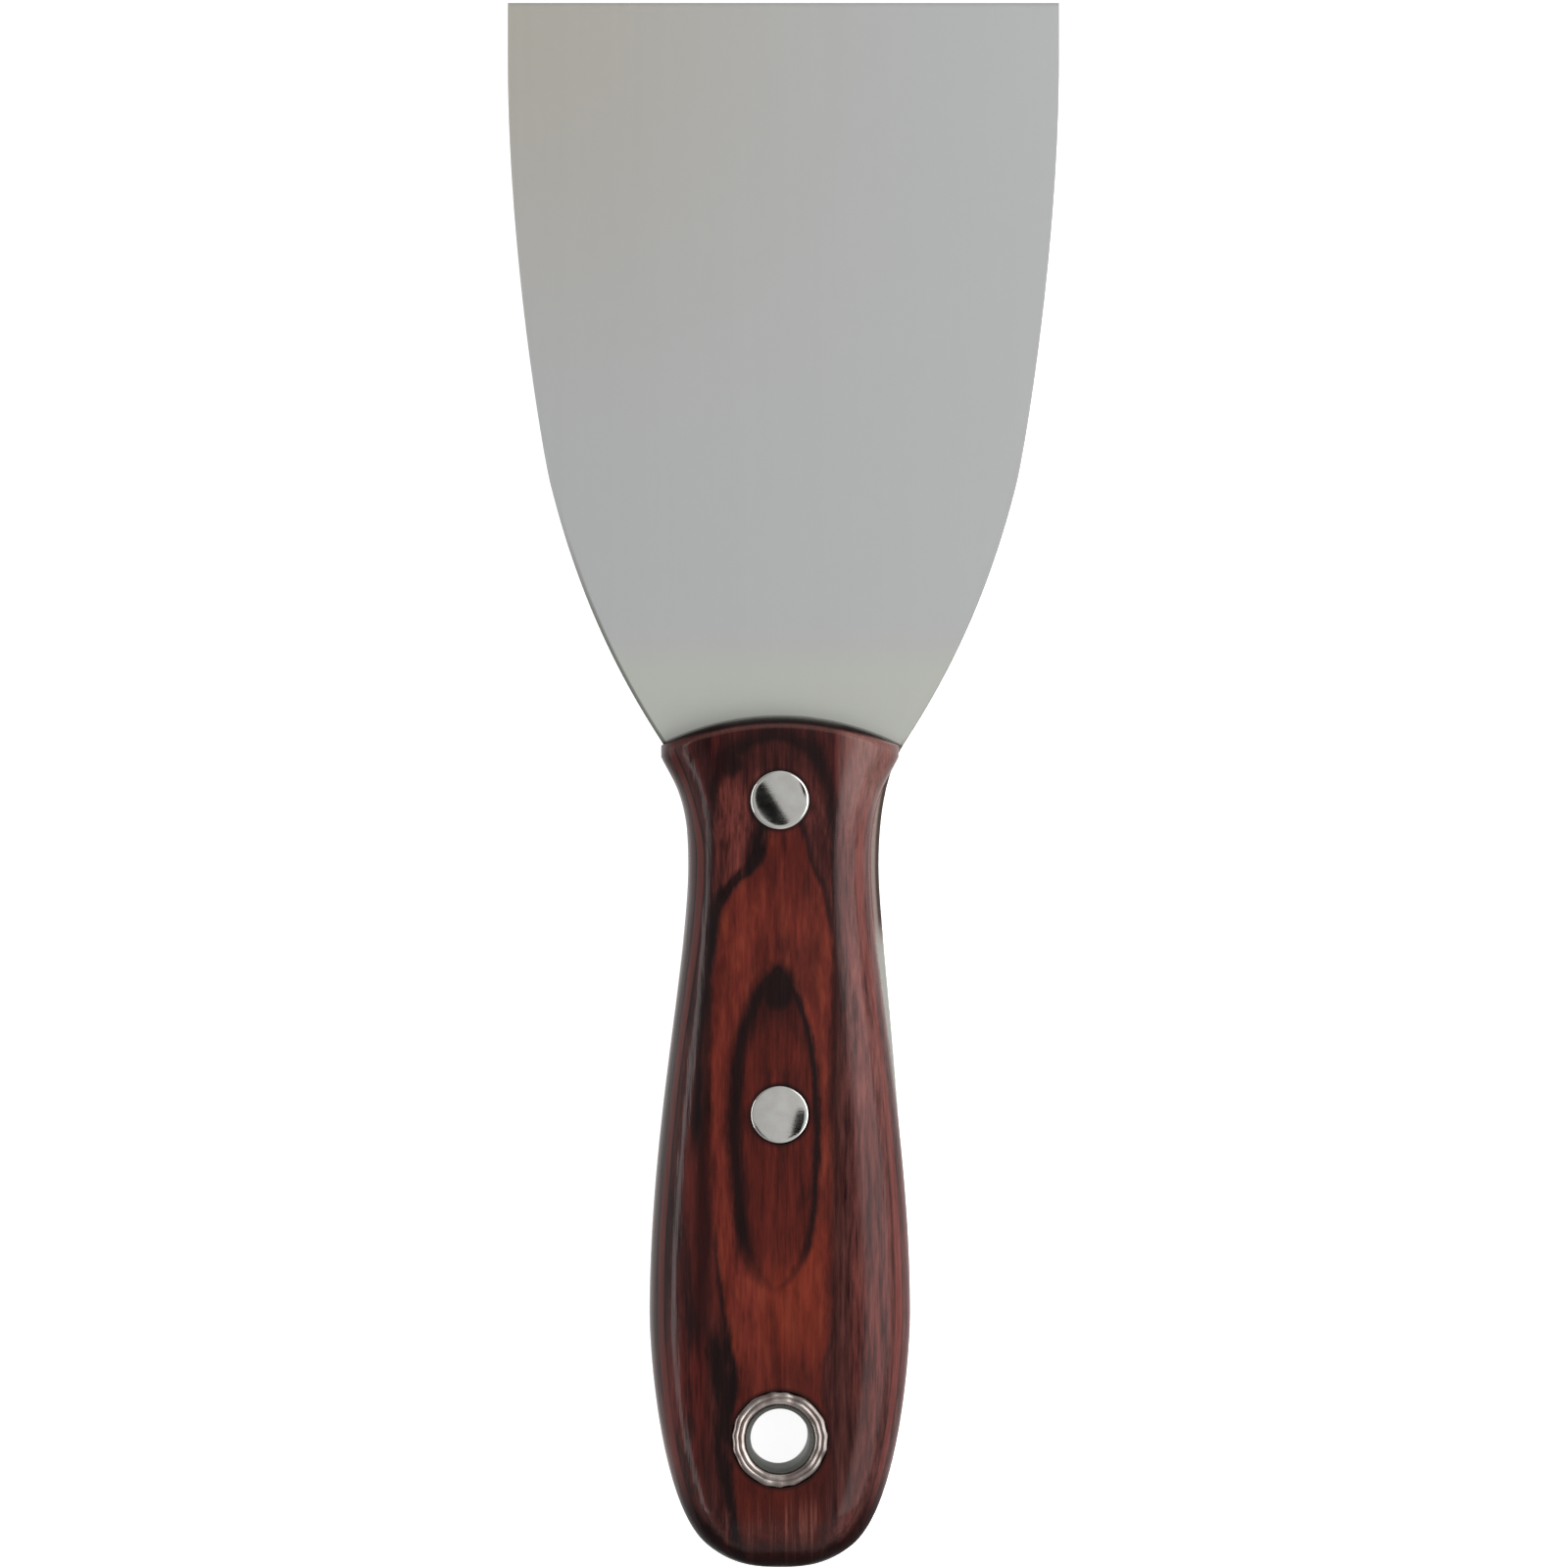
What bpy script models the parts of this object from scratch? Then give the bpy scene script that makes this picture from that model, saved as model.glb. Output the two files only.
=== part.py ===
"""Drywall taping knife: a one-piece spring-steel blade and tang between two riveted wooden scales.

The knife lies flat, as it would on a bench. X runs across it, +Y along it towards the working edge,
and +Z up. Outlines are drawn in millimetres, as (half-width, station), where the station is the
distance from the butt of the handle. STATION_ORIGIN is the station that lands on Y = 0.
"""

import math

import bmesh
import bpy
import numpy as np

MM = 0.001

# Driving dimensions, in millimetres.
LENGTH = 216.0
STATION_ORIGIN = LENGTH / 2
BLADE_HALF_WIDTH = 38.1
TANG_THICKNESS = 1.2
EDGE_THICKNESS = 0.5
TAPER_START = 127.0
GLUE_GAP = 0.05

# The handle and everything that goes through it sit slightly to one side of the blade's centre line.
HANDLE_OFFSET = -0.5
SCALE_HEIGHT = 8.6
NECK_DIP = 1.2
NECK_FALL = (62.0, 95.0)
NECK_RISE = (97.0, 106.0)
SIDE_WALL = 0.9
FLANK_SHARE = 0.48
BUTT_ROUNDING = 9.0
FRONT_APEX = 117.3
FRONT_CORNER = 113.2
FRONT_SLOPE = 1.6
FRONT_BOW_START = 88.0

# The tang lies just inside the scales at the palm. At the neck it moves over to the blade's centre
# line and stands proud of them.
TANG_INSET = 0.12
TANG_PROUD = 0.55
TANG_EMERGES = (52.0, 92.0)

RIVET_STATIONS = {"palm": 62.6, "neck": 105.9}
RIVET_HEAD_RADIUS = 4.05
RIVET_HEAD_DEPTH = 1.8
TUBE_RADIUS = 2.5
TUBE_BORE = 1.65
PIN_RADIUS = 1.6
SHANK_END_GAP = 0.4
PIN_REACH = 4.5
BORE_FLOOR = 5.6

EYELET_STATION = 17.9
EYELET_RIM_RADIUS = 6.65
EYELET_THROAT = 4.05
EYELET_BARREL = 4.75
EYELET_SEAT_DEPTH = 0.75
EYELET_PROUD = 0.28
RING_RECESS = 0.08

CLEARANCE = 0.06
ROUND_SEGMENTS = 32
OVERSHOOT = 1.0
ENVELOPE_DEPTH = 14.0

# The mid-plane of the tang, with the lower scale's lands resting on Z = 0.
MID_PLANE = TANG_THICKNESS / 2 + GLUE_GAP + SCALE_HEIGHT

# Half outlines as cubic curves, each (start, handle, handle, end).
SCALE_SIDE = (
    ((0.0, 0.0), (3.0, 0.0), (6.3, 0.1), (9.9, 3.0)),
    ((9.9, 3.0), (16.6, 8.3), (18.0, 30.3), (18.0, 35.0)),
    ((18.0, 35.0), (18.0, 60.5), (12.6, 83.9), (12.6, 97.0)),
    ((12.6, 97.0), (12.6, 106.0), (15.6, 109.0), (16.8, FRONT_CORNER)),
)
BLADE_SIDE = (
    ((16.5, 113.4), (19.8, 118.6), (27.4, 130.1), (32.2, 149.5)),
    ((32.2, 149.5), (33.0, 152.4), (BLADE_HALF_WIDTH, 181.1), (BLADE_HALF_WIDTH, 208.4)),
)
TANG_FLARE = ((13.15, 97.0), (13.15, 105.0), (14.6, 110.4), (16.5, 113.4))


def bezier(curve, steps):
    """Points along one cubic curve, both ends included."""
    t = np.linspace(0.0, 1.0, steps + 1)[:, None]
    a, b, c, d = (np.array(point) for point in curve)
    return (1 - t) ** 3 * a + 3 * (1 - t) ** 2 * t * b + 3 * (1 - t) * t**2 * c + t**3 * d


def chain(curves, steps):
    """Points along curves that follow each other, with each shared end kept once."""
    pieces = [bezier(curve, steps) for curve in curves]
    return np.vstack([pieces[0]] + [piece[1:] for piece in pieces[1:]])


def smooth_step(value, span):
    """0 before the span, 1 after it, and a smooth rise between."""
    low, high = span
    t = min(max((value - low) / (high - low), 0.0), 1.0)
    return t * t * (3 - 2 * t)


SCALE_OUTLINE = chain(SCALE_SIDE, 80)


def scale_half_width(station):
    return float(np.interp(station, SCALE_OUTLINE[:, 1], SCALE_OUTLINE[:, 0]))


def scale_height(station):
    """Height of the flat land above the tang: level at the palm, lower at the neck, then up again."""
    dip = smooth_step(station, NECK_FALL) - smooth_step(station, NECK_RISE)
    butt = max(0.0, 1 - station / BUTT_ROUNDING)
    rounding = math.sqrt(1 - butt**2)
    return SIDE_WALL + (SCALE_HEIGHT - SIDE_WALL - NECK_DIP * dip) * rounding


def front_edge(x):
    """Station of the scales' curved front end at a distance x from the handle's centre line."""
    corner = scale_half_width(FRONT_CORNER)
    rise = FRONT_APEX - FRONT_CORNER
    radius = (corner**2 + rise**2) / (2 * rise)
    return FRONT_APEX - radius + math.sqrt(radius**2 - x**2)


def tang_centre(station):
    """Distance of the tang's own centre line from the blade's."""
    return HANDLE_OFFSET * (1 - smooth_step(station, TANG_EMERGES))


def tang_half_width(station):
    if station >= TANG_FLARE[0][1]:
        flare = bezier(TANG_FLARE, 40)
        return float(np.interp(station, flare[:, 1], flare[:, 0]))
    proud = (TANG_INSET + TANG_PROUD) * smooth_step(station, TANG_EMERGES) - TANG_INSET
    return scale_half_width(station) + proud


def to_world(x, station, height):
    """Millimetres across, along from the butt and up from the tang's mid-plane, as a point in metres."""
    return (x * MM, (station - STATION_ORIGIN) * MM, (MID_PLANE + height) * MM)


def add_object(name, mesh, material=None, sharp_degrees=35.0):
    """An object from a bmesh, its faces turned outwards and shaded smooth between sharp edges."""
    bmesh.ops.recalc_face_normals(mesh, faces=mesh.faces)
    data = bpy.data.meshes.new(name)
    mesh.to_mesh(data)
    mesh.free()
    data.shade_smooth()
    data.set_sharp_from_angle(angle=math.radians(sharp_degrees))
    made = bpy.data.objects.new(name, data)
    bpy.context.collection.objects.link(made)
    if material:
        data.materials.append(material)
    return made


def make_material(name, colour, roughness, metallic):
    material = bpy.data.materials.new(name)
    material.use_nodes = True
    shader = material.node_tree.nodes["Principled BSDF"]
    shader.inputs["Base Color"].default_value = (*colour, 1.0)
    shader.inputs["Roughness"].default_value = roughness
    shader.inputs["Metallic"].default_value = metallic
    return material


def lathe(name, profile, station, side=1, material=None):
    """A turned solid about a vertical axis through the handle.

    profile is a list of (radius, height) points. A profile whose ends lie on the axis makes a solid,
    and one that stays off it is closed into a ring. side = -1 turns it over to face down.
    """
    mesh = bmesh.new()
    rings = []
    for radius, height in profile:
        steps = ROUND_SEGMENTS if radius > 0 else 1
        ring = []
        for step in range(steps):
            angle = 2 * math.pi * step / ROUND_SEGMENTS
            x = HANDLE_OFFSET + radius * math.cos(angle)
            along = station + radius * math.sin(angle)
            ring.append(mesh.verts.new(to_world(x, along, side * height)))
        rings.append(ring)
    if profile[0][0] > 0:
        rings.append(rings[0])
    for first, second in zip(rings, rings[1:]):
        for step in range(ROUND_SEGMENTS):
            corners = [first[step % len(first)], first[(step + 1) % ROUND_SEGMENTS % len(first)]]
            corners += [second[(step + 1) % ROUND_SEGMENTS % len(second)], second[step % len(second)]]
            mesh.faces.new(list(dict.fromkeys(corners)))
    return add_object(name, mesh, material)


def drill(name, radius, low, high, station, side=1):
    """A round cutter from one height to another."""
    profile = [(0, low), (radius, low), (radius, high), (0, high)]
    cutter = lathe(name, profile, station, side)
    cutter.hide_render = True
    cutter.display_type = "WIRE"
    return cutter


def combine(target, other, operation):
    """Apply an exact Boolean for good, and remove the other object when it is a cutter."""
    modifier = target.modifiers.new(operation.title(), "BOOLEAN")
    modifier.operation = operation
    modifier.solver = "EXACT"
    modifier.object = other
    result = target.evaluated_get(bpy.context.evaluated_depsgraph_get())
    finished = bpy.data.meshes.new_from_object(result)
    target.modifiers.remove(modifier)
    target.data = finished


def scale_stations():
    """Stations of the loft's cross-sections: close together at the butt, the neck and the front."""
    butt = BUTT_ROUNDING * (1 - np.cos(np.linspace(0.05, math.pi / 2, 10)))
    palm = np.linspace(12.0, 62.0, 11)
    neck = np.linspace(66.0, 95.0, 8)
    flare = np.linspace(98.0, 112.0, 7)
    return [*butt, *palm, *neck, *flare]


def cross_section(station):
    """Half of a section, from the side wall up an elliptical flank to the flat land's centre."""
    width = scale_half_width(station)
    height = scale_height(station)
    flank = FLANK_SHARE * width
    angles = np.linspace(0.0, math.pi / 2, 7)
    rise = height - SIDE_WALL
    points = [(width - flank * (1 - math.cos(a)), SIDE_WALL + rise * math.sin(a)) for a in angles]
    land = width - flank
    return points + [(land * share, height) for share in (0.66, 0.33, 0.0)]


def scale_form(name, side, floor, material=None):
    """The outer form of one scale, undrilled, from `floor` below the glue line up to its surface.

    side is 1 for the upper scale and -1 for the lower. The cross-sections near the front are bowed
    to follow the curved front end, which slopes back a little from the tang to the land.
    """
    base = TANG_THICKNESS / 2 + GLUE_GAP
    mesh = bmesh.new()

    def vertex(x, station, height):
        return mesh.verts.new(to_world(HANDLE_OFFSET + x, station, side * (base + height)))

    stations = scale_stations()
    last = stations[-1]
    sections = []
    for station in stations:
        half = cross_section(station)
        bow = smooth_step(station, (FRONT_BOW_START, last))
        top = []
        for x, height in half + half[-2::-1]:
            across = x if len(top) < len(half) else -x
            shift = bow * (front_edge(across) - FRONT_SLOPE - last)
            top.append((across, station + shift, height))
        sections.append(top)

    # Beyond the last full section the end face rounds over and slopes down to the glue line.
    end = sections[-1]
    for forward, share in ((0.35, 0.94), (0.75, 0.72), (1.25, 0.36)):
        sections.append([(x, y + forward, height * share) for x, y, height in end])
    toe = [vertex(x, y + FRONT_SLOPE, floor) for x, y, height in end]

    rows = [[vertex(*point) for point in section] for section in sections]
    feet = [(vertex(*row[0][:2], floor), vertex(*row[-1][:2], floor)) for row in sections]
    for near, far in zip(rows, rows[1:]):
        for i in range(len(near) - 1):
            mesh.faces.new((near[i], near[i + 1], far[i + 1], far[i]))
    for i in range(len(toe) - 1):
        mesh.faces.new((rows[-1][i], rows[-1][i + 1], toe[i + 1], toe[i]))
    for edge, foot in ((0, 0), (-1, 1)):
        for j in range(len(rows) - 1):
            mesh.faces.new((rows[j][edge], rows[j + 1][edge], feet[j + 1][foot], feet[j][foot]))
        mesh.faces.new((rows[-1][edge], toe[edge], feet[-1][foot]))
    mesh.faces.new([feet[0][0], *rows[0], feet[0][1]])
    right = [pair[0] for pair in feet]
    left = [pair[1] for pair in feet]
    mesh.faces.new([*right, *toe, *reversed(left)])
    return add_object(name, mesh, material)


def make_scale(name, side, material):
    """One scale: the form, drilled and counterbored for the rivets and the eyelet."""
    scale = scale_form(name, side, 0.0, material)
    top = MID_PLANE + OVERSHOOT
    for place, station in RIVET_STATIONS.items():
        seat = head_seat(station) - CLEARANCE
        shank_hole = TUBE_RADIUS + CLEARANCE
        shank = drill(f"{place}_shank_cutter", shank_hole, 0.0, seat + OVERSHOOT, station, side)
        head = drill(f"{place}_head_cutter", RIVET_HEAD_RADIUS + CLEARANCE, seat, top, station, side)
        drill_out(scale, (shank, head))
    barrel = drill("barrel_cutter", EYELET_BARREL + CLEARANCE, 0.0, top, EYELET_STATION, side)
    floor = MID_PLANE - EYELET_SEAT_DEPTH - CLEARANCE
    rim = drill("rim_cutter", EYELET_RIM_RADIUS + CLEARANCE, floor, top, EYELET_STATION, side)
    drill_out(scale, (barrel, rim))
    return scale


def drill_out(target, cutters):
    for cutter in cutters:
        combine(target, cutter, "DIFFERENCE")
        bpy.data.objects.remove(cutter)


def head_seat(station):
    """Height of a rivet head's underside above the tang's mid-plane."""
    return TANG_THICKNESS / 2 + GLUE_GAP + scale_height(station) - RIVET_HEAD_DEPTH


def grind_flush(rivet, side):
    """Trim a rivet head to the surface of its scale."""
    envelope = scale_form("grinding_envelope", side, -ENVELOPE_DEPTH)
    combine(rivet, envelope, "INTERSECT")
    bpy.data.objects.remove(envelope)


def make_rivet(place, station, material):
    """A two-part cutler's rivet: a hollow half from above, and a pin half pressed in from below."""
    under = head_seat(station)
    over = under + RIVET_HEAD_DEPTH + OVERSHOOT
    tube_end = -(under - SHANK_END_GAP)
    tube = lathe(
        f"rivet_tube_{place}",
        [
            (0, over),
            (RIVET_HEAD_RADIUS, over),
            (RIVET_HEAD_RADIUS, under),
            (TUBE_RADIUS, under),
            (TUBE_RADIUS, tube_end),
            (TUBE_BORE, tube_end),
            (TUBE_BORE, BORE_FLOOR),
            (0, BORE_FLOOR),
        ],
        station,
        1,
        material,
    )
    pin = lathe(
        f"rivet_pin_{place}",
        [
            (0, over),
            (RIVET_HEAD_RADIUS, over),
            (RIVET_HEAD_RADIUS, under),
            (PIN_RADIUS, under),
            (PIN_RADIUS, -PIN_REACH),
            (0, -PIN_REACH),
        ],
        station,
        -1,
        material,
    )
    grind_flush(tube, 1)
    grind_flush(pin, -1)


def make_eyelet(material):
    """The flanged barrel that lines the hanging hole, from the upper face through to the lower."""
    surface = MID_PLANE
    seat = surface - EYELET_SEAT_DEPTH
    crest = surface + EYELET_PROUD
    profile = [
        (EYELET_BARREL, seat),
        (EYELET_RIM_RADIUS, seat),
        (EYELET_RIM_RADIUS, surface - 0.1),
        (EYELET_RIM_RADIUS - 0.35, surface + 0.15),
        (EYELET_RIM_RADIUS - 1.0, crest),
        (EYELET_BARREL + 0.35, crest),
        (EYELET_BARREL - 0.1, crest - 0.25),
        (EYELET_THROAT + 0.15, crest - 1.1),
        (EYELET_THROAT, crest - 1.6),
        (EYELET_THROAT, -surface + RING_RECESS + 0.2),
        (EYELET_THROAT + 0.2, -surface + RING_RECESS),
        (EYELET_BARREL - 0.15, -surface + RING_RECESS),
        (EYELET_BARREL, -surface + RING_RECESS + 0.15),
    ]
    return lathe("hanging_eyelet", profile, EYELET_STATION, 1, material)


def make_eyelet_ring(material):
    """The washer that the barrel's lower end is swaged into, just below flush with the lower scale."""
    face = MID_PLANE - RING_RECESS
    seat = MID_PLANE - EYELET_SEAT_DEPTH
    inner = EYELET_BARREL + CLEARANCE
    profile = [
        (inner, seat),
        (EYELET_RIM_RADIUS, seat),
        (EYELET_RIM_RADIUS, face - 0.2),
        (EYELET_RIM_RADIUS - 0.2, face),
        (inner + 0.1, face),
        (inner, face - 0.1),
    ]
    return lathe("eyelet_ring", profile, EYELET_STATION, -1, material)


def blade_outline():
    """(half-width, station) pairs from the butt of the tang to the working edge."""
    butt = (0.9, 1.6, 3.0, 5.5, 9.0, 14.0, 20.0, 27.0)
    tang = np.arange(35.0, FRONT_CORNER, 3.0)
    handle = [(tang_half_width(station), station) for station in (*butt, *tang)]
    return [*handle, *chain(BLADE_SIDE, 14), (BLADE_HALF_WIDTH, LENGTH)]


def blade_thickness(station):
    """Parallel through the tang, then ground to an even taper towards the working edge."""
    share = max(0.0, (station - TAPER_START) / (LENGTH - TAPER_START))
    return TANG_THICKNESS - share * (TANG_THICKNESS - EDGE_THICKNESS)


def make_blade(material):
    """Blade and full tang, one piece of spring steel, drilled for the rivets and the eyelet."""
    mesh = bmesh.new()
    outline = blade_outline()
    loops = []
    for width, station in outline:
        half = blade_thickness(station) / 2
        right = tang_centre(station) + width
        left = tang_centre(station) - width
        corners = ((right, half), (left, half), (left, -half), (right, -half))
        loops.append([mesh.verts.new(to_world(x, station, height)) for x, height in corners])
    for near, far in zip(loops, loops[1:]):
        for i in range(4):
            mesh.faces.new((near[i], near[(i + 1) % 4], far[(i + 1) % 4], far[i]))
    mesh.faces.new(loops[0])
    mesh.faces.new(loops[-1])
    blade = add_object("blade_and_tang", mesh, material, 20.0)
    reach = TANG_THICKNESS
    holes = [(TUBE_RADIUS, station) for station in RIVET_STATIONS.values()]
    for radius, station in (*holes, (EYELET_BARREL, EYELET_STATION)):
        drill_out(blade, [drill("tang_cutter", radius + CLEARANCE, -reach, reach, station)])
    return blade


def main():
    for old in list(bpy.data.objects):
        bpy.data.objects.remove(old)
    steel = make_material("blade_steel", (0.42, 0.42, 0.40), 0.38, 1.0)
    wood = make_material("laminated_wood", (0.12, 0.022, 0.012), 0.3, 0.0)
    bright = make_material("rivet_steel", (0.62, 0.61, 0.58), 0.15, 1.0)
    worn = make_material("eyelet_steel", (0.45, 0.44, 0.41), 0.3, 1.0)
    make_blade(steel)
    make_scale("scale_upper", 1, wood)
    make_scale("scale_lower", -1, wood)
    for place, station in RIVET_STATIONS.items():
        make_rivet(place, station, bright)
    make_eyelet(worn)
    make_eyelet_ring(worn)


main()
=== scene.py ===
import math

import bmesh
import bpy
import numpy as np
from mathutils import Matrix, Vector


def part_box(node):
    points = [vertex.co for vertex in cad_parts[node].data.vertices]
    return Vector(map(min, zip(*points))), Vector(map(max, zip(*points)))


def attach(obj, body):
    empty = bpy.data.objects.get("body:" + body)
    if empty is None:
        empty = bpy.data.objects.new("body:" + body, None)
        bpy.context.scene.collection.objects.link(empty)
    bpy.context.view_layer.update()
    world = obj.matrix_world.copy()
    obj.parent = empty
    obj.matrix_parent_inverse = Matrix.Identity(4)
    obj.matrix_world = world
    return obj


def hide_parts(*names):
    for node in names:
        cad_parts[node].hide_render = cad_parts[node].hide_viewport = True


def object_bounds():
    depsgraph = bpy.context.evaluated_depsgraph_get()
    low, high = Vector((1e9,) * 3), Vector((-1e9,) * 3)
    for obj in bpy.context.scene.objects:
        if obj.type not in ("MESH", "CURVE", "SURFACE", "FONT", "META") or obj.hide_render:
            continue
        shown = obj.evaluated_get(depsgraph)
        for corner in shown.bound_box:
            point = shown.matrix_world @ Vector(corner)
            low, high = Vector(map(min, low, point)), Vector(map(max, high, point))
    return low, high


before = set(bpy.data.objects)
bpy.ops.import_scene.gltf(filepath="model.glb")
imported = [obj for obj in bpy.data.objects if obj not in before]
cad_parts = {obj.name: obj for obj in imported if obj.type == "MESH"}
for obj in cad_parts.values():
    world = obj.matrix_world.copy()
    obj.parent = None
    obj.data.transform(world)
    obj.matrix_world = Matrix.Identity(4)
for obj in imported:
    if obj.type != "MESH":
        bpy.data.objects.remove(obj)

# The knife lies flat: X across it, +Y towards the working edge, +Z up. The knife's lengths are in
# millimetres, and a station is the distance from the butt of the handle.
MM = 0.001
CAD_LOW, CAD_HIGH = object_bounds()


def middle(node):
    low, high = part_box(node)
    return (low + high) / 2 / MM


BUTT_Y = CAD_LOW.y / MM
LENGTH = CAD_HIGH.y / MM - BUTT_Y
MID_PLANE = middle("blade_and_tang").z
HANDLE_X = middle("scale_upper").x
EYELET_STATION = middle("hanging_eyelet").y - BUTT_Y
RIVET_STATIONS = {place: middle(f"rivet_tube_{place}").y - BUTT_Y for place in ("palm", "neck")}
HEAD_RADIUS = (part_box("rivet_tube_palm")[1].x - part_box("rivet_tube_palm")[0].x) / 2 / MM
RIM_RADIUS = (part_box("eyelet_ring")[1].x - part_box("eyelet_ring")[0].x) / 2 / MM

TANG_THICKNESS = 1.2
EDGE_THICKNESS = 0.5
TAPER_START = 127.0
EDGE_CHAMFER = 0.12
WORKING_CHAMFER = 0.45
WORKING_EDGE_SHARE = 0.55
BASE = TANG_THICKNESS / 2 + 0.05
SCALE_HEIGHT = MID_PLANE - BASE
NECK_DIP = 1.2
NECK_FALL = (62.0, 95.0)
NECK_RISE = (97.0, 106.0)
LAND_CROWN = 0.3
SIDE_WALL = 0.9
FLANK_SHARE = 0.48
BUTT_ROUNDING = 9.0
FRONT_APEX = 117.3
FRONT_CORNER = 113.2
FRONT_SLOPE = 1.6
FRONT_REACH = 0.98
FRONT_ROUNDING = 0.36
FRONT_BOW_START = 88.0
TANG_INSET = 0.12
TANG_PROUD = 0.55
TANG_EMERGES = (52.0, 92.0)
HEAD_DEPTH = 1.8
TUBE_RADIUS = 2.5
TUBE_BORE = 1.65
TUBE_BORE_TOP = 5.6
PIN_RADIUS = 1.6
PIN_LENGTH = 4.5
THROAT = 4.05
BARREL = 4.75
SEAT_DEPTH = 0.75
CLEARANCE = 0.06
SHARP_DEGREES = 32.0
BLADE_SHARP_DEGREES = 12.0

SCALE_SIDE = (
    ((0.0, 0.0), (3.0, 0.0), (6.3, 0.1), (9.9, 3.0)),
    ((9.9, 3.0), (16.6, 8.3), (18.0, 30.3), (18.0, 35.0)),
    ((18.0, 35.0), (18.0, 60.5), (12.6, 83.9), (12.6, 97.0)),
    ((12.6, 97.0), (12.6, 106.0), (15.6, 109.0), (16.8, FRONT_CORNER)),
)
BLADE_SIDE = (
    ((16.5, 113.4), (19.8, 118.6), (27.4, 130.1), (32.2, 149.5)),
    ((32.2, 149.5), (33.0, 152.4), (38.1, 181.1), (38.1, 208.4)),
)
TANG_FLARE = ((13.15, 97.0), (13.15, 105.0), (14.6, 110.4), (16.5, 113.4))


# Outlines, the same curves as the CAD solids.

def bezier(curve, steps):
    t = np.linspace(0.0, 1.0, steps + 1)[:, None]
    a, b, c, d = (np.array(point) for point in curve)
    return (1 - t) ** 3 * a + 3 * (1 - t) ** 2 * t * b + 3 * (1 - t) * t**2 * c + t**3 * d


def chain(curves, steps):
    pieces = [bezier(curve, steps) for curve in curves]
    return np.vstack([pieces[0]] + [piece[1:] for piece in pieces[1:]])


def smooth_step(value, span):
    t = min(max((value - span[0]) / (span[1] - span[0]), 0.0), 1.0)
    return t * t * (3 - 2 * t)


SCALE_OUTLINE = chain(SCALE_SIDE, 200)
FLARE_OUTLINE = bezier(TANG_FLARE, 100)
BLADE_OUTLINE = chain(BLADE_SIDE, 40)


def scale_half_width(station):
    return float(np.interp(station, SCALE_OUTLINE[:, 1], SCALE_OUTLINE[:, 0]))


def scale_height(station):
    dip = smooth_step(station, NECK_FALL) - smooth_step(station, NECK_RISE)
    butt = max(0.0, 1 - station / BUTT_ROUNDING)
    return SIDE_WALL + (SCALE_HEIGHT - SIDE_WALL - NECK_DIP * dip) * math.sqrt(1 - butt**2)


FRONT_RISE = FRONT_APEX - FRONT_CORNER
FRONT_RADIUS = (scale_half_width(FRONT_CORNER) ** 2 + FRONT_RISE**2) / (2 * FRONT_RISE)


def front_edge(x):
    return FRONT_APEX - FRONT_RADIUS + math.sqrt(FRONT_RADIUS**2 - x**2)


def tang_centre(station):
    """The tang lies under the handle's centre line at the palm and on the blade's at the neck."""
    return HANDLE_X * (1 - smooth_step(station, TANG_EMERGES))


def tang_half_width(station):
    if station >= TANG_FLARE[0][1]:
        return float(np.interp(station, FLARE_OUTLINE[:, 1], FLARE_OUTLINE[:, 0]))
    proud = (TANG_INSET + TANG_PROUD) * smooth_step(station, TANG_EMERGES) - TANG_INSET
    return scale_half_width(station) + proud


def metal_half_width(station):
    if station < BLADE_OUTLINE[0, 1]:
        return tang_half_width(station)
    return float(np.interp(station, BLADE_OUTLINE[:, 1], BLADE_OUTLINE[:, 0]))


def to_world(x, station, height):
    return Vector((x * MM, (station + BUTT_Y) * MM, (MID_PLANE + height) * MM))


# Making and cutting meshes.

def add_object(name, mesh, material=None):
    bmesh.ops.recalc_face_normals(mesh, faces=mesh.faces)
    data = bpy.data.meshes.new(name)
    mesh.to_mesh(data)
    mesh.free()
    data.shade_smooth()
    data.set_sharp_from_angle(angle=math.radians(SHARP_DEGREES))
    made = bpy.data.objects.new(name, data)
    bpy.context.scene.collection.objects.link(made)
    if material:
        data.materials.append(material)
    return made


def stand_in(piece, node):
    """This piece is the finished form of a CAD node."""
    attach(piece, "root")
    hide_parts(node)
    return piece


def lathe(name, profile, station, side=1, material=None, segments=96, shape=None):
    """A turned solid from (radius, height) points. shape may move each point: (radius, height, angle)."""
    mesh = bmesh.new()
    rings = []
    for radius, height in profile:
        ring = []
        for step in range(segments if radius > 0 else 1):
            angle = 2 * math.pi * step / segments
            r, h = shape(radius, height, angle) if shape else (radius, height)
            point = to_world(HANDLE_X + r * math.cos(angle), station + r * math.sin(angle), side * h)
            ring.append(mesh.verts.new(point))
        rings.append(ring)
    if profile[0][0] > 0:
        rings.append(rings[0])
    for first, second in zip(rings, rings[1:]):
        for step in range(segments):
            ahead = (step + 1) % segments
            corners = [first[step % len(first)], first[ahead % len(first)]]
            corners += [second[ahead % len(second)], second[step % len(second)]]
            mesh.faces.new(list(dict.fromkeys(corners)))
    return add_object(name, mesh, material)


def combine(target, other, operation):
    """Apply an exact Boolean and remove the other object."""
    modifier = target.modifiers.new(operation.title(), "BOOLEAN")
    modifier.operation = operation
    modifier.solver = "EXACT"
    modifier.object = other
    result = target.evaluated_get(bpy.context.evaluated_depsgraph_get())
    target.data = bpy.data.meshes.new_from_object(result)
    target.modifiers.remove(target.modifiers[0])
    target.data.set_sharp_from_angle(angle=math.radians(SHARP_DEGREES))
    bpy.data.objects.remove(other)


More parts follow.
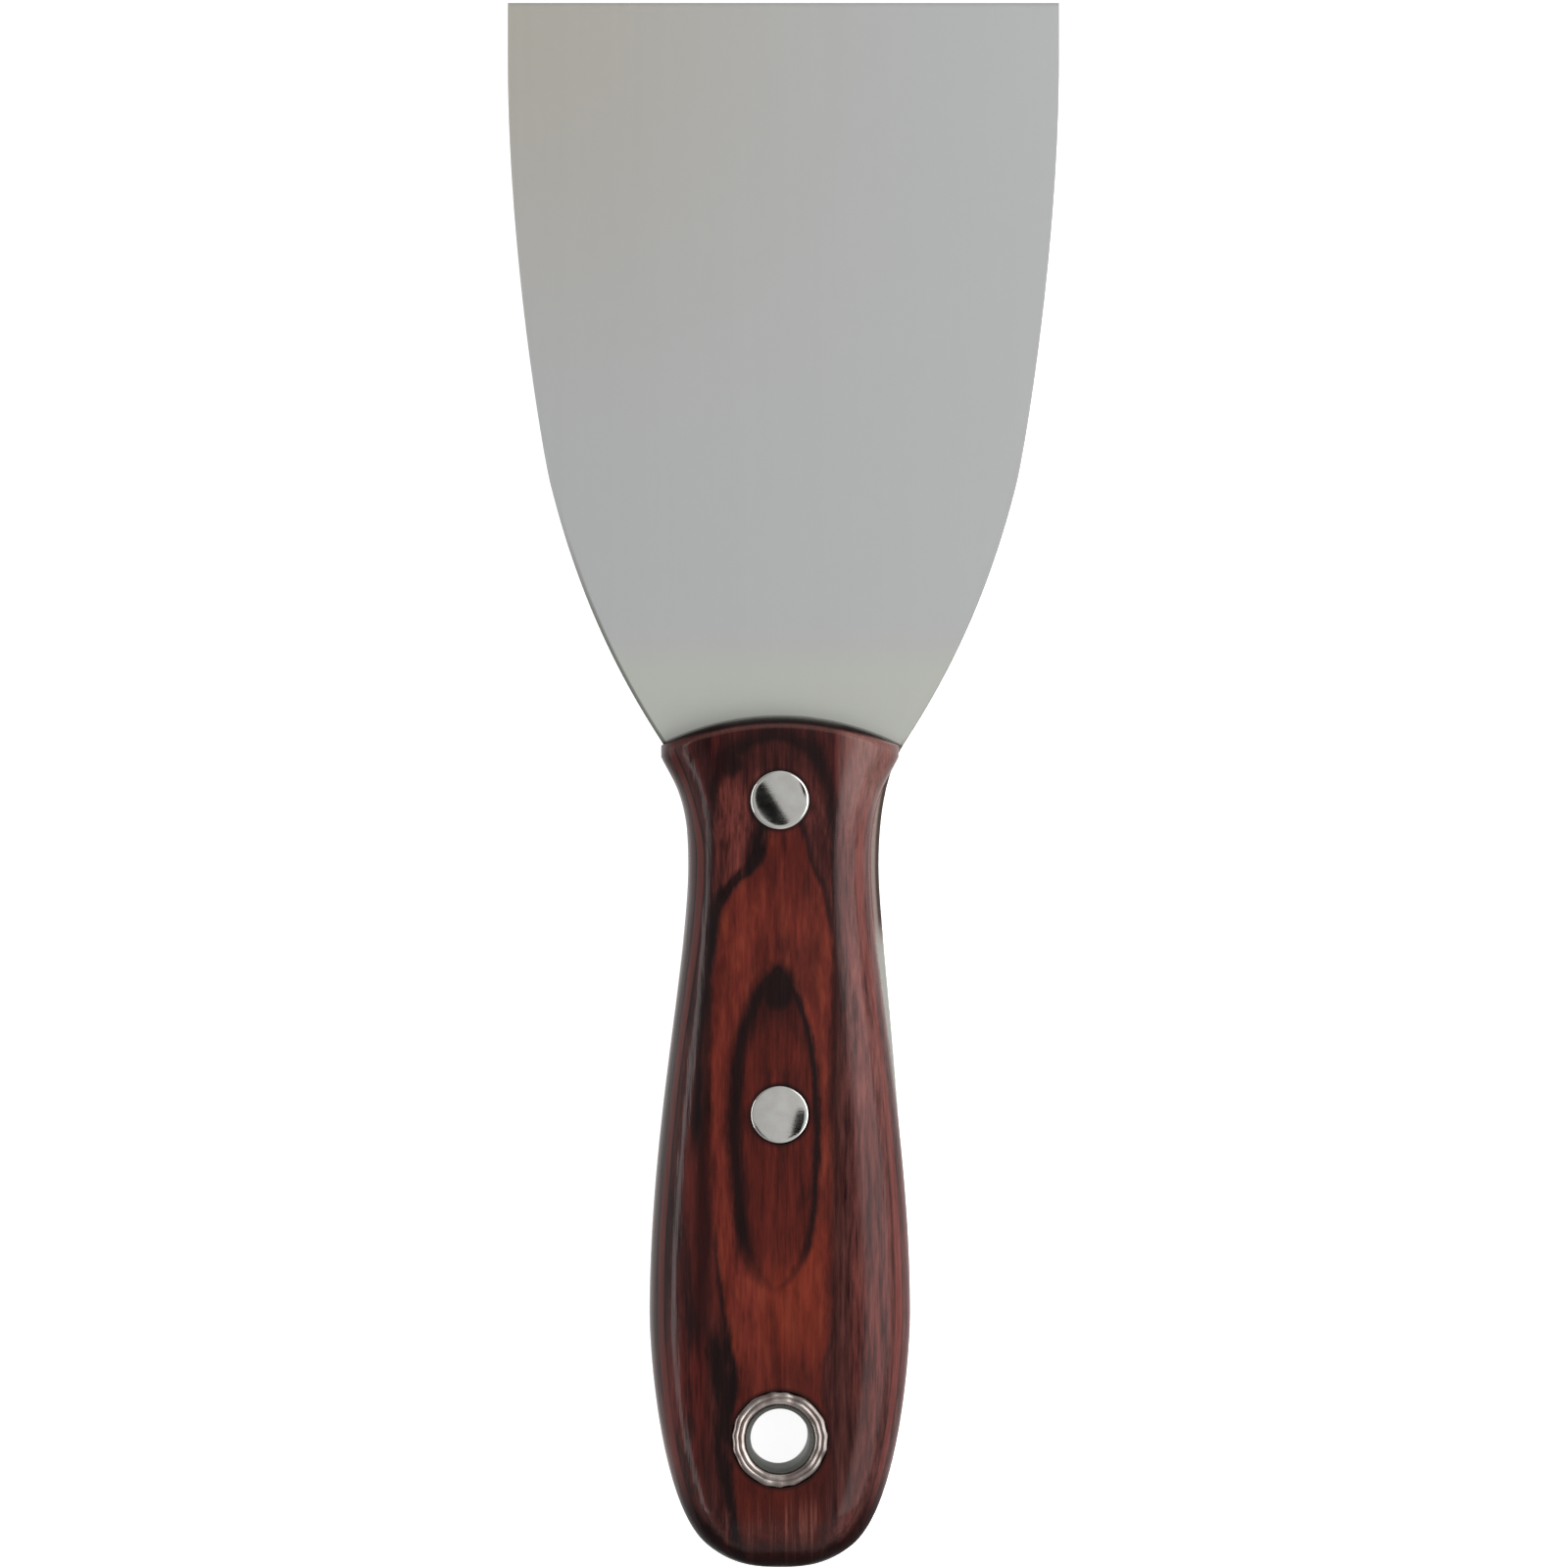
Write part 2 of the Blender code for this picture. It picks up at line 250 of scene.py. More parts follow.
def drill(target, radius, low, high, station, side=1):
    profile = [(0, low), (radius, low), (radius, high), (0, high)]
    combine(target, lathe("cutter", profile, station, side), "DIFFERENCE")


# The two wooden scales.

def scale_stations():
    butt = BUTT_ROUNDING * (1 - np.cos(np.linspace(0.05, math.pi / 2, 22)))
    palm = np.linspace(10.2, 61.5, 32)
    neck = np.linspace(63.0, 95.5, 24)
    flare = np.linspace(96.5, 112.0, 20)
    return [*butt, *palm, *neck, *flare]


def cross_section(station):
    width = scale_half_width(station)
    height = scale_height(station)
    flank = FLANK_SHARE * width
    land = width - flank
    edge = height - LAND_CROWN * min(1.0, station / BUTT_ROUNDING)
    angles = np.linspace(0.0, math.pi / 2, 17)
    steepness = SIDE_WALL + (edge - SIDE_WALL) * np.sin(angles)
    points = [(width, 0.3 * SIDE_WALL), *zip(width - flank * (1 - np.cos(angles)), steepness)]
    shares = np.linspace(1.0, 0.0, 9)[1:]
    return points + [(land * share, edge + (height - edge) * (1 - share**2)) for share in shares]


def scale_sections():
    """The cross-sections as rows of (x, station, height), bowed towards the front and rounded off there."""
    stations = scale_stations()
    last = stations[-1]
    sections = []
    for station in stations:
        half = cross_section(station)
        whole = half + [(-x, height) for x, height in half[-2::-1]]
        bow = smooth_step(station, (FRONT_BOW_START, last))
        bowed = [(x, station + bow * (front_edge(x) - FRONT_SLOPE - last), height) for x, height in whole]
        sections.append(bowed)
    end = sections[-1]
    for angle in np.linspace(0.0, math.pi / 2, 9)[1:]:
        forward = FRONT_REACH * FRONT_SLOPE * math.sin(angle)
        remaining = 1 - FRONT_ROUNDING * (1 - math.cos(angle))
        sections.append([(x, y + forward, height * remaining) for x, y, height in end])
    toe = [(x, y + FRONT_SLOPE, 0.0) for x, y, height in end]
    return sections, toe


def scale_form(name, side, material):
    """One scale before drilling: its sections, a plumb front face, two side walls, butt and floor."""
    mesh = bmesh.new()

    def vertex(x, station, height):
        return mesh.verts.new(to_world(HANDLE_X + x, station, side * (BASE + height)))

    sections, toe_points = scale_sections()
    rows = [[vertex(*point) for point in section] for section in sections]
    toe = [vertex(*point) for point in toe_points]
    right = [vertex(x, station, 0.0) for x, station, height in (section[0] for section in sections)]
    left = [vertex(x, station, 0.0) for x, station, height in (section[-1] for section in sections)]
    for near, far in zip(rows, rows[1:]):
        for i in range(len(near) - 1):
            mesh.faces.new((near[i], near[i + 1], far[i + 1], far[i]))
    for i in range(len(toe) - 1):
        mesh.faces.new((rows[-1][i], rows[-1][i + 1], toe[i + 1], toe[i]))
    for edge, feet in ((0, right), (-1, left)):
        for j in range(len(rows) - 1):
            mesh.faces.new((rows[j][edge], rows[j + 1][edge], feet[j + 1], feet[j]))
        mesh.faces.new((rows[-1][edge], toe[edge], feet[-1]))
    mesh.faces.new([right[0], *rows[0], left[0]])
    mesh.faces.new([*right, *toe, *reversed(left)])
    return add_object(name, mesh, material)


def head_seat(station):
    return BASE + scale_height(station) - HEAD_DEPTH


def make_scale(name, node, side, material):
    scale = scale_form(name, side, material)
    top = MID_PLANE + 1.0
    for station in RIVET_STATIONS.values():
        seat = head_seat(station) - CLEARANCE
        drill(scale, TUBE_RADIUS + CLEARANCE, 0.0, seat + 0.5, station, side)
        drill(scale, HEAD_RADIUS + CLEARANCE, seat, top, station, side)
    drill(scale, BARREL + CLEARANCE, 0.0, top, EYELET_STATION, side)
    drill(scale, RIM_RADIUS + CLEARANCE, MID_PLANE - SEAT_DEPTH - CLEARANCE, top, EYELET_STATION, side)
    return stand_in(scale, node)


# The blade.

def blade_thickness(station):
    share = max(0.0, (station - TAPER_START) / (LENGTH - TAPER_START))
    return TANG_THICKNESS - share * (TANG_THICKNESS - EDGE_THICKNESS)


def blade_section(width, station):
    """Half-width and height pairs round one section, with a small chamfer along each edge."""
    half = blade_thickness(station) / 2
    if station == LENGTH:
        half *= WORKING_EDGE_SHARE
    inner = width - EDGE_CHAMFER
    side = [(width, half - EDGE_CHAMFER), (inner, half), (inner / 2, half), (0, half)]
    top = side + [(-x, z) for x, z in side[-2::-1]]
    return top + [(x, -z) for x, z in reversed(top)]


def make_blade(material):
    """Blade and tang with a small ground chamfer along every edge."""
    butt = BUTT_ROUNDING * (1 - np.cos(np.linspace(0.45, 2.2, 14)))
    tang = np.arange(23.5, FRONT_CORNER, 1.5)
    handle = [(tang_half_width(station), station) for station in (*butt, *tang)]
    wide = BLADE_SIDE[-1][-1][0]
    outline = [*handle, *BLADE_OUTLINE, (wide, LENGTH - WORKING_CHAMFER), (wide, LENGTH)]
    mesh = bmesh.new()
    loops = []
    for width, station in outline:
        centre = tang_centre(station)
        section = blade_section(width, station)
        loops.append([mesh.verts.new(to_world(centre + x, station, z)) for x, z in section])
    for near, far in zip(loops, loops[1:]):
        for i in range(len(near)):
            j = (i + 1) % len(near)
            mesh.faces.new((near[i], near[j], far[j], far[i]))
    mesh.faces.new(loops[0])
    mesh.faces.new(loops[-1])
    blade = add_object("spring_steel_blade", mesh, material)
    reach = TANG_THICKNESS
    for station in RIVET_STATIONS.values():
        drill(blade, TUBE_RADIUS + CLEARANCE, -reach, reach, station)
    drill(blade, BARREL + CLEARANCE, -reach, reach, EYELET_STATION)
    blade.data.set_sharp_from_angle(angle=math.radians(BLADE_SHARP_DEGREES))
    return stand_in(blade, "blade_and_tang")


# Rivets and eyelet.

HEAD_DOME = 0.06
HEAD_BEVEL = 0.34
BEVEL_DROP = 0.22
# Sideways lean of each ground upper head, in degrees.
HEAD_LEAN = {"palm": -1.2, "neck": 0.0}


def head_profile(station):
    """A polished rivet head, level with the wood: a slight dome with a rounded edge."""
    surface = BASE + scale_height(station)
    flat = HEAD_RADIUS - HEAD_BEVEL
    dome = [(r, surface - HEAD_DOME * (r / flat) ** 2) for r in np.linspace(0.0, flat, 9)]
    arc = np.linspace(0.0, 1.0, 7)[1:]
    bevel = [(flat + HEAD_BEVEL * t, surface - HEAD_DOME - BEVEL_DROP * t**2.2) for t in arc]
    return dome + bevel + [(HEAD_RADIUS, surface - HEAD_DEPTH)]


def head_slope(station):
    """How steeply the wood rises towards the front at a rivet."""
    return (scale_height(station + 3.0) - scale_height(station - 3.0)) / 6.0


def tilted(place, side):
    """Lean a head with the wood's slope and, on the upper side, by its own small error across."""
    station = RIVET_STATIONS[place]
    slope = head_slope(station)
    across = math.tan(math.radians(HEAD_LEAN[place])) if side > 0 else 0.0
    highest = math.inf if side > 0 else MID_PLANE
    seat = head_seat(station)

    def shape(radius, height, angle):
        if height < seat + 0.5:
            return radius, height
        lean = radius * (slope * math.sin(angle) + across * math.cos(angle))
        return radius, min(height + lean, highest)

    return shape


def make_rivet(place, station, material):
    seat = head_seat(station)
    end = -(seat - 0.4)
    tube = [(TUBE_RADIUS, seat), (TUBE_RADIUS, end), (TUBE_BORE, end)]
    tube += [(TUBE_BORE, TUBE_BORE_TOP), (0, TUBE_BORE_TOP)]
    pin = [(PIN_RADIUS, seat), (PIN_RADIUS, -PIN_LENGTH), (0, -PIN_LENGTH)]
    for half, shank, side in (("tube", tube, 1), ("pin", pin, -1)):
        profile = head_profile(station) + shank
        name = f"polished_{half}_{place}"
        made = lathe(name, profile, station, side, material, shape=tilted(place, side))
        stand_in(made, f"rivet_{half}_{place}")


# The far end of the bore was punched this much off centre.
BORE_DRIFT = 0.3


def dented(radius, height, angle):
    """The eyelet's rolled rim is a little uneven all round, with crimps left by the setting tool."""
    if height < 0 and radius < THROAT + 0.3:
        return radius + BORE_DRIFT * (0.6 * math.sin(angle) - 0.8 * math.cos(angle)), height
    if radius < BARREL - 0.1 or height < 0:
        return radius, height
    uneven = 0.05 * math.sin(3 * angle + 0.7) + 0.03 * math.sin(7 * angle + 2.1)
    crimps = 0.045 * math.sin(15 * angle + 1.6 * math.sin(4 * angle))
    worn = (radius - BARREL + 0.1) / (RIM_RADIUS - BARREL)
    lower = height + worn * (uneven + crimps - 0.12)
    return min(radius + worn * (0.5 * uneven + crimps), RIM_RADIUS), lower


def make_eyelet(material):
    """From the seat up over two rolls of the rim, down a flared mouth and through the barrel."""
    surface = MID_PLANE
    crest = CAD_HIGH.z / MM - MID_PLANE
    foot = -surface + 0.08
    profile = [(BARREL, surface - SEAT_DEPTH), (RIM_RADIUS, surface - SEAT_DEPTH)]
    profile += [(RIM_RADIUS, surface - 0.2), (6.6, surface - 0.02), (6.48, crest - 0.16)]
    profile += [(6.28, crest - 0.05), (6.08, crest), (5.9, crest - 0.03), (5.74, crest - 0.1)]
    profile += [(5.62, crest - 0.08), (5.48, crest - 0.01), (5.3, crest - 0.02), (5.12, crest - 0.08)]
    profile += [(4.98, crest - 0.18), (4.86, crest - 0.31), (4.76, crest - 0.47), (4.68, crest - 0.68)]
    profile += [(4.62, crest - 1.0), (4.5, crest - 1.6), (4.3, crest - 2.6), (4.12, crest - 4.0)]
    profile += [(THROAT, crest - 5.5), (THROAT, 0.0), (THROAT, foot + 0.42), (THROAT + 0.2, foot)]
    profile += [(BARREL - 0.15, foot), (BARREL, foot + 0.15)]
    piece = lathe("worn_eyelet", profile, EYELET_STATION, 1, material, 120, dented)
    return stand_in(piece, "hanging_eyelet")


def make_eyelet_ring(material):
    face = MID_PLANE - 0.08
    inner = BARREL + CLEARANCE
    profile = [
        (inner, MID_PLANE - SEAT_DEPTH),
        (RIM_RADIUS, MID_PLANE - SEAT_DEPTH),
        (RIM_RADIUS, face - 0.25),
        (RIM_RADIUS - 0.07, face - 0.07),
        (RIM_RADIUS - 0.25, face),
        (inner + 0.2, face),
        (inner + 0.06, face - 0.06),
        (inner, face - 0.2),
    ]
    piece = lathe("swaged_ring", profile, EYELET_STATION, -1, material, 120)
    return stand_in(piece, "eyelet_ring")


# Node graphs. A Field is a value that varies over a surface or a sky, and a Graph makes them.

def srgb(*channels):
    """A linear colour from 0 to 255 display values."""
    linear = [(c / 255 / 12.92) if c <= 10 else ((c / 255 + 0.055) / 1.055) ** 2.4 for c in channels]
    return (*linear, 1.0)


class Field:
    """A number at each point. Arithmetic on fields adds math nodes."""

    def __init__(self, graph, socket):
        self.graph = graph
        self.socket = socket

    def math(self, operation, *others):
        return self.graph.math(operation, self, *others)

    def __add__(self, other):
        return self.math("ADD", other)

    def __sub__(self, other):
        return self.math("SUBTRACT", other)

    def __rsub__(self, other):
        return self.graph.math("SUBTRACT", other, self)

    def __mul__(self, other):
        return self.math("MULTIPLY", other)

    def __truediv__(self, other):
        return self.math("DIVIDE", other)

    __radd__ = __add__
    __rmul__ = __mul__

    def size(self):
        return self.math("ABSOLUTE")

    def least(self, other):
        return self.math("MINIMUM", other)

    def most(self, other):
        return self.math("MAXIMUM", other)

    def rise(self, low, high):
        """0 below low, 1 above high, smooth between. With low above high it falls."""
        inputs = {"Value": self, "From Min": low, "From Max": high}
        made = self.graph.node("ShaderNodeMapRange", inputs, interpolation_type="SMOOTHSTEP")
        return Field(self.graph, made.outputs["Result"])

    def along(self, points):
        """A smooth curve through (input, output) points."""
        inputs, outputs = zip(*points)
        low, high = min(outputs), max(outputs)
        made = self.graph.node("ShaderNodeFloatCurve")
        curve = made.mapping.curves[0]
        scaled = [((x - inputs[0]) / (inputs[-1] - inputs[0]), (y - low) / (high - low)) for x, y in points]
        curve.points[0].location = scaled[0]
        curve.points[1].location = scaled[-1]
        for place in scaled[1:-1]:
            curve.points.new(*place)
        made.mapping.update()
        self.graph.feed(made.inputs["Value"], (self - inputs[0]) / (inputs[-1] - inputs[0]))
        return Field(self.graph, made.outputs["Value"]) * (high - low) + low


class Graph:
    """A node tree, with short ways to add to it."""

    def __init__(self, tree):
        self.tree = tree

    def node(self, kind, inputs=None, **settings):
        made = self.tree.nodes.new(kind)
        for key, value in settings.items():
            setattr(made, key, value)
        for key, value in (inputs or {}).items():
            self.feed(made.inputs[key], value)
        return made

    def feed(self, socket, value):
        if isinstance(value, Field):
            value = value.socket
        if isinstance(value, bpy.types.NodeSocket):
            self.tree.links.new(value, socket)
        else:
            socket.default_value = value

    def math(self, operation, *values):
        made = self.node("ShaderNodeMath", dict(enumerate(values)), operation=operation)
        return Field(self, made.outputs[0])

    def parts(self, vector):
        """The three components of a vector, as fields."""
        made = self.node("ShaderNodeSeparateXYZ", {"Vector": vector})
        return [Field(self, made.outputs[axis]) for axis in "XYZ"]

    def blend(self, share, first, second, kind="MIX"):
        """The first colour where share is 0 and the second where it is 1."""
        made = self.node("ShaderNodeMix", data_type="RGBA", blend_type=kind, clamp_factor=True)
        for index, value in ((0, share), (6, first), (7, second)):
            self.feed(made.inputs[index], value)
        return made.outputs[2]

    def brighten(self, colour, amount):
        """Scale a colour by a field."""
        made = self.node("ShaderNodeVectorMath", {0: colour}, operation="SCALE")
        self.feed(made.inputs["Scale"], amount)
        return made.outputs["Vector"]


class Surface(Graph):
    """One material, with the surface point in millimetres as x, station and height fields."""

    def __init__(self, name, metallic):
        self.material = bpy.data.materials.new(name)
        self.material.use_nodes = True
        super().__init__(self.material.node_tree)
        self.shader = self.tree.nodes["Principled BSDF"]
        self.shader.inputs["Metallic"].default_value = metallic
        self.point = self.node("ShaderNodeTexCoord").outputs["Object"]
        x, y, z = self.parts(self.point)
        self.x = x / MM - HANDLE_X
        self.station = y / MM - BUTT_Y
        self.height = z / MM - MID_PLANE

    def facing(self):
        """How far the surface faces along X, Y and Z."""
        return self.parts(self.node("ShaderNodeNewGeometry").outputs["Normal"])

    def distance(self, station):
        """Millimetres, seen from above, from the point on the handle's centre line at a station."""
        away = self.station - station
        return (self.x * self.x + away * away).math("SQRT")

    def noise(self, sizes, seed=0.0, detail=2.0, roughness=0.5):
        """Noise from about -1 to 1 whose features are `sizes` millimetres along X, Y and Z."""
        scale = [1 / (size * MM) for size in sizes]
        place = self.node("ShaderNodeMapping", {"Vector": self.point, "Scale": scale, "Location": [seed] * 3})
        inputs = {"Vector": place.outputs["Vector"], "Scale": 1.0, "Detail": detail, "Roughness": roughness}
        made = self.node("ShaderNodeTexNoise", inputs)
        return Field(self, made.outputs["Fac"]) * 4.0 - 2.0

    def relief(self, height, depth_mm, *normals):
        """Bump from a field of about -1 to 1, depth_mm deep, on the named normal inputs."""
        made = self.node("ShaderNodeBump", {"Height": height, "Distance": depth_mm * MM, "Strength": 1.0})
        for name in normals or ("Normal",):
            self.feed(self.shader.inputs[name], made.outputs["Normal"])

    def constant(self, **inputs):
        """Values that are the same all over the surface."""
        for name, value in inputs.items():
            self.shader.inputs[name.replace("_", " ")].default_value = value

    def finish(self, colour, roughness):
        self.feed(self.shader.inputs["Base Color"], colour)
        self.feed(self.shader.inputs["Roughness"], roughness)
        return self.material


# Materials.

# The figure that the carved wood shows where its surface cuts through the dyed veneers, as
# (station, half-width) and (station, centre): a teardrop in a long lens, under an arch at the neck.
TEARDROP_WIDTH = (
    (34, -6.0), (38, -0.5), (41, 3.0), (46, 4.8), (54, 5.6), (64, 5.8), (71, 5.2), (77.5, 3.3), (81, 1.6),
    (84, -1.2), (90, -7.0),
)
LENS_WIDTH = (
    (0, 4.6), (7, 6.3), (18, 7.2), (26, 6.1), (30, 6.8), (36, 8.1), (42, 8.9), (48, 9.3), (60, 9.9),
    (75, 9.5), (85, 8.5), (90, 7.6), (92, 7.0), (94, 6.0), (96, 4.4), (97.5, 3.5), (101, 2.6), (106, 0.6),
)
LENS_CENTRE = (
    (0, 0.3), (18, 0.2), (26, -0.1), (36, 0.3), (48, -0.2), (60, -0.8), (70, -1.0), (85, -0.8), (90, -0.85),
    (92, -0.6), (94, -0.1), (96, 0.5), (97.5, 0.7), (101, 0.7), (106, 0.7),
)
ARCH_WIDTH = ((80, 8.9), (98, 8.5), (105, 8.2), (110.5, 7.0), (113, 5.2), (114.8, 1.0), (118, -6.0))
# How far a glue line spreads across as its outline turns across the handle at the top of the arch.
ARCH_SPREAD = ((80, 0.75), (105, 0.8), (110.5, 1.3), (113, 2.2), (114.8, 4.4), (118, 6.0))
# Width of the dark veneer outside the lens: on its left, where the surface cuts it at a shallow
# angle, and on its right.
HUSK_WIDTH = (
    (0, 1.0), (9, 1.4), (18, 2.3), (26, 3.2), (38, 4.1), (45, 3.7), (54, 2.0), (66, 1.1), (85, 1.1),
    (91, 1.5), (96, 2.0), (101, 1.7), (106, 0.5),
)
HUSK_RIGHT = 0.25

NEAR_BLACK = srgb(20, 8, 9)
PLY_THICKNESS = 1.3


class Veneer(Surface):
    """The wood of one scale. side is 1 for the upper scale and -1 for the lower."""

    def __init__(self, name, side, seed):
        super().__init__(name, 0.0)
        self.side = side
        self.seed = seed
        self.broad = self.noise((2.4, 28.0, 2.4), seed + 11.0, 2.0)
        self.narrow = self.noise((0.8, 11.0, 0.8), seed + 17.0, 2.0, 0.6)
        self.fine = self.noise((0.32, 4.5, 0.32), seed + 19.0, 2.0, 0.6)
        self.grain = self.narrow * 0.5 + self.fine * 0.35 + self.broad * 0.4
        pores = self.noise((0.17, 2.2, 0.17), seed + 23.0, 1.0)
        self.dark_pores = pores.rise(0.7, 1.2) * 0.4
        # Painted highlights: pale pore streaks where the lacquer would catch the light.
        self.painted_pore_highlights = pores.rise(-0.85, -1.25) * 0.35
        _, self.forward, upward = self.facing()
        self.level = upward.size()
        self.find_zones()

    def find_zones(self):
        """Fields that are 1 in one part of the handle and fade to 0 round it."""
        # The butt, with the steep faces near it, is also where painted shade darkens the wood.
        corner = self.level.rise(0.82, 0.55) * self.station.rise(15.0, 7.0)
        self.butt = self.station.rise(5.5, 1.0).most(corner)
        self.palm = self.station.rise(80.0, 50.0)
        self.low_palm = self.station.rise(50.0, 25.0)
        self.front = self.station.rise(104.0, 111.0)
        self.end_grain = self.forward.rise(0.55, 0.85) * self.front
        self.right = (self.x + self.palm * 0.8).rise(7.3, 9.8)
        self.low_left = self.x.rise(-9.0, -12.0) * self.station.rise(34.0, 26.0)
        self.left_neck = self.x.rise(-6.0, -9.0) * self.station.rise(90.0, 98.0)


class Figure:
    """The outlines on the face of one scale, as fields in millimetres that are negative inside."""

    def __init__(self, wood):
        sway = wood.noise((14.0, 30.0, 14.0), wood.seed, 1.0)
        fray = wood.noise((0.6, 4.0, 0.6), wood.seed + 3.0, 3.0, 0.7)
        wander = wood.noise((3.0, 9.0, 3.0), wood.seed + 8.0, 2.0)
        self.mottle = wood.noise((1.5, 6.0, 1.5), wood.seed + 29.0, 2.0, 0.6)
        self.smoke = wood.noise((2.6, 13.0, 2.6), wood.seed + 37.0, 2.0)
        self.x = wood.x * wood.side + sway * 0.3 + fray * 0.36
        self.station = wood.station + wander * 0.35
        self.left = self.x.rise(1.5, -2.5)
        self.low_right = self.x.rise(2.0, 5.0) * self.station.rise(50.0, 40.0)
        self.teardrop = (self.x + 0.5).size() - self.station.along(TEARDROP_WIDTH)
        self.lens = (self.x - self.station.along(LENS_CENTRE)).size() - self.station.along(LENS_WIDTH)
        self.arch = (self.x + 1.1).size() - self.station.along(ARCH_WIDTH)
        # How far the dark veneer reaches outside the lens, and where the palm's left is worn through it.
        self.husk = self.left * (self.station.along(HUSK_WIDTH) - HUSK_RIGHT) + HUSK_RIGHT
        worn = (self.lens - self.husk * 0.5).size().rise(2.3, 1.2) * self.left
        self.worn = worn * self.station.rise(30.0, 37.0) * self.station.rise(62.0, 54.0)

    def spot(self, x, station, half_width, half_length):
        """0 in the middle of an oval and 1 on its outline, by the square of the distance."""
        across = ((self.x - x) / half_width).math("POWER", 2.0)
        along = ((self.station - station) / half_length).math("POWER", 2.0)
        return along + across


def outer_veneer(wood, figure):
    """Outside the lens, and redder low on the right."""
    colour = wood.blend(wood.grain.rise(-0.9, 1.1), srgb(36, 12, 13), srgb(88, 36, 33))
    red = figure.low_right * wood.grain.rise(-0.6, 0.9)
    return wood.blend(red * 0.6, colour, srgb(122, 54, 46))


def arch_veneer(wood, figure):
    """Under the arch at the neck."""
    colour = wood.blend(wood.grain.rise(-0.7, 1.2), srgb(38, 13, 13), srgb(120, 58, 52))
    colour = wood.blend(figure.x.rise(-2.0, 4.0) * 0.35, colour, srgb(78, 34, 31))
    return wood.blend(figure.station.rise(107.0, 111.0) * 0.6, colour, srgb(38, 12, 12))


def lens_veneer(wood, figure):
    """Red, and darker at both ends, along the right and upper edges and round the teardrop's tip."""
    x = figure.x
    station = figure.station
    colour = wood.blend(wood.grain.rise(-1.2, 1.2), srgb(82, 26, 20), srgb(125, 50, 39))
    glow = station.rise(58.0, 44.0) * station.rise(24.0, 34.0) * (x - 2.5).size().rise(7.0, 2.0)
    colour = wood.blend(glow * 0.35, colour, srgb(128, 46, 22))
    tip = figure.spot(-0.3, 81.5, 5.0, 6.5).rise(1.4, 0.2)
    colour = wood.blend(tip * 0.55, colour, srgb(60, 20, 17))
    shaded = station.rise(70.0, 80.0).most(x.rise(2.0, 5.0) * station.rise(28.0, 38.0))
    colour = wood.blend(figure.lens.rise(-6.0, -1.0) * shaded * 0.5, colour, srgb(70, 23, 19))
    colour = wood.blend(figure.mottle.rise(0.0, -0.9) * 0.45, colour, srgb(133, 59, 40))
    colour = wood.blend(figure.smoke.rise(-0.1, 0.9) * 0.5, colour, srgb(58, 19, 15))
    colour = wood.blend(station.rise(88.0, 100.0) * 0.4, colour, srgb(74, 22, 18))
    return wood.blend(station.rise(42.0, 14.0) * 0.75, colour, srgb(56, 17, 13))


def teardrop_veneer(wood):
    return wood.blend(wood.grain.rise(-1.2, 1.2), srgb(52, 17, 13), srgb(100, 34, 26))


def glue_lines(figure):
    """Where the near-black glue shows. It is wider where the surface cuts it at a shallow angle."""
    station = figure.station
    lines = figure.lens.rise(-0.8, 0.25) * (figure.lens - figure.husk).rise(0.9, -0.5)
    lines = lines * (1.0 - figure.worn * 0.8)
    lines = lines * (1.0 - figure.mottle.rise(0.0, -1.2) * 0.45) * (1.0 - figure.low_right * 0.4)
    teardrop_line = (figure.teardrop + 0.1).size() / (figure.left * 0.55 + 0.62)
    lines = lines.most(teardrop_line.rise(1.7, 0.2) * station.rise(35.0, 46.0))
    arch_line = figure.arch.size() / station.along(ARCH_SPREAD)
    lines = lines.most(arch_line.rise(1.5, 0.2) * 0.85)
    tip = figure.spot(-0.4, 79.8, 2.9, 3.6)
    lines = lines.most(tip.rise(1.7, 0.3))
    lines = lines.most(figure.teardrop.rise(0.5, -0.6) * station.rise(70.0, 79.0) * 0.75)
    blotch = figure.spot(-7.2, 111.0, 2.0, 2.2)
    return lines.most(blotch.rise(1.4, 0.3) * 0.85)


def face_colour(wood):
    """The veneers where they are cut by the face of the scale."""
    figure = Figure(wood)
    colour = wood.blend(figure.arch.rise(0.5, -0.6), outer_veneer(wood, figure), arch_veneer(wood, figure))
    colour = wood.blend(figure.lens.rise(0.25, -0.6), colour, lens_veneer(wood, figure))
    teardrop = figure.teardrop.rise(0.4, -0.9) * figure.station.rise(36.0, 46.0)
    colour = wood.blend(teardrop, colour, teardrop_veneer(wood))
    strands = wood.noise((0.45, 14.0, 14.0), wood.seed + 31.0, 1.0)
    streaks = strands.rise(0.15, 0.75) * wood.station.rise(11.0, 7.0)
    colour = wood.blend(streaks * 0.4, colour, srgb(146, 84, 74))
    colour = wood.blend(figure.mottle.rise(0.0, 1.0) * 0.45, colour, NEAR_BLACK)
    colour = wood.blend(figure.worn * 0.6, colour, srgb(106, 40, 33))
    return wood.blend(glue_lines(figure) * 0.95, colour, NEAR_BLACK)


def add_layers(wood, colour):
    """Down the flanks the veneers show as level layers."""
    sway = wood.noise((14.0, 30.0, 14.0), wood.seed + 5.0, 1.0)
    ply = (wood.height.size() - 1.2 + sway * 0.12 + wood.narrow * 0.05) / PLY_THICKNESS
    every_other = (ply * 0.5).math("FRACT").rise(0.48, 0.52)
    layers = wood.blend(every_other, srgb(44, 17, 17), srgb(92, 38, 34))
    layers = wood.blend(wood.grain.rise(-0.8, 1.2) * 0.5, layers, srgb(112, 60, 54))
    glue = (ply.math("FRACT") - 0.5).size().rise(0.34, 0.47)
    layers = wood.blend(glue * 0.8, layers, NEAR_BLACK)
    steep = wood.level.rise(0.93, 0.72) * (1.0 - wood.forward.size().rise(0.25, 0.5) * 0.8)
    return wood.blend(steep, colour, layers)


